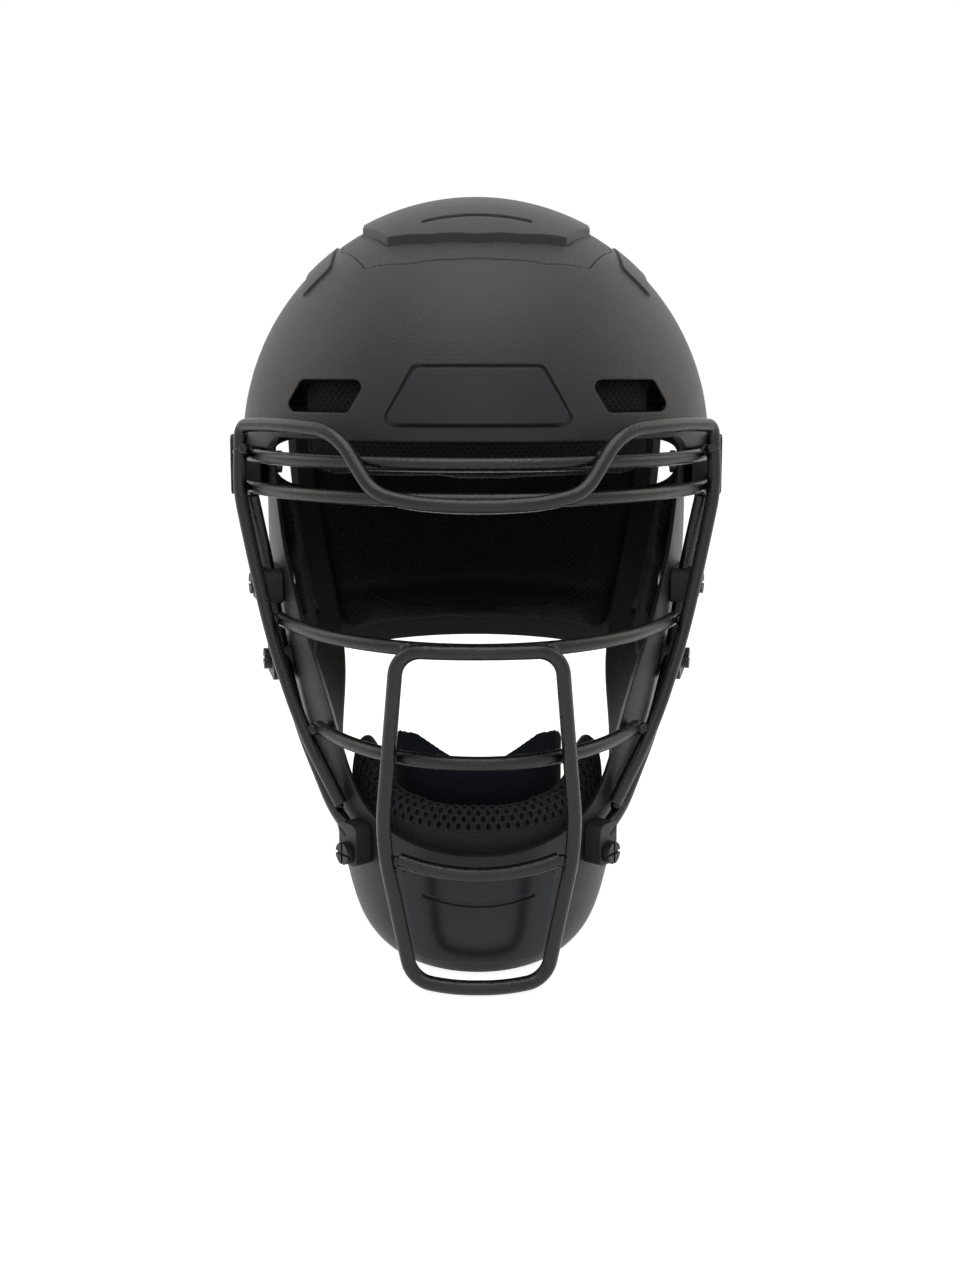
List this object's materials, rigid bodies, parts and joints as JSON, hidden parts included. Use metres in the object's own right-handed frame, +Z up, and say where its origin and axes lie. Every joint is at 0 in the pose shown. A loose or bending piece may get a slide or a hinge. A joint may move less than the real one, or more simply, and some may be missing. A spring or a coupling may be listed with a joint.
{
  "type": "baseball catcher helmet",
  "caption": "Hockey-style catcher's helmet: a one-piece shell with a welded wire face cage, mesh pads, a chin pad and a padded back plate on elastic straps.",
  "frame": {"origin": "on the level of the nose loop's lowest wire, just under the flat lower rim of the chin, below the middle of the whole part's width and depth", "axes": "+Z up through the crown, -Y out of the face, +X towards the wearer's left"},
  "size_m": [0.2198, 0.286, 0.3114],
  "materials": {
    "shell": "matte with a fine moulded grain",
    "brow_plate": "satin",
    "chin_guard": "satin",
    "crown_panel": "matte",
    "crown_band": "fine diagonal texture",
    "cage_wire": "powder coat",
    "clip": "satin",
    "screw": "black satin",
    "nut": "plain",
    "pad_mesh": "black spacer mesh",
    "pad_lining": "smooth navy-black",
    "back_plate": "dark grey matte",
    "back_pad_mesh": "black mesh",
    "webbing": "black webbing",
    "buckle": "satin"
  },
  "bodies": {
    "helmet": {"helmet_shell": "shell", "brow_plate": "brow_plate", "chin_guard": "chin_guard", "crown_panel": "crown_panel", "crown_band": "crown_band", "brow_bar": "cage_wire", "upper_eye_bar": "cage_wire", "lower_eye_bar": "cage_wire", "cheek_bar": "cage_wire", "side_wire_left": "cage_wire", "side_wire_right": "cage_wire", "rail_wire_left": "cage_wire", "rail_wire_right": "cage_wire", "brow_drop_wire": "cage_wire", "nose_loop": "cage_wire", "chin_bar": "cage_wire", "temple_clip_left": "clip", "temple_clip_right": "clip", "upper_rail_clip_left": "clip", "upper_rail_clip_right": "clip", "lower_rail_clip_left": "clip", "lower_rail_clip_right": "clip", "chin_clip_left": "clip", "chin_clip_right": "clip", "clip_screws": "screw", "clip_nuts": "nut", "crown_pad": "pad_mesh", "brow_pad": "pad_mesh", "side_pad_left": "pad_mesh", "side_pad_right": "pad_mesh", "jaw_pad_left": "pad_mesh", "jaw_pad_right": "pad_mesh", "chin_pad": "pad_mesh", "chin_lining": "pad_lining", "side_straps_left": "webbing", "side_straps_right": "webbing", "strap_rivets": "screw", "top_strap": "webbing"},
    "back_plate": {"back_plate": "back_plate", "back_pad": "back_pad_mesh", "strap_buckles_left": "buckle", "strap_buckles_right": "buckle"}
  },
  "joints": [
    {"name": "back_plate_hinge", "type": "hinge", "parent": "helmet", "child": "back_plate", "pos_m": [0, 0.1298, 0.2384], "axis": [1, 0, 0], "range_deg": [0, 18], "stiffness_Nm_per_rad": 1.5, "springref_deg": -11.46}
  ]
}
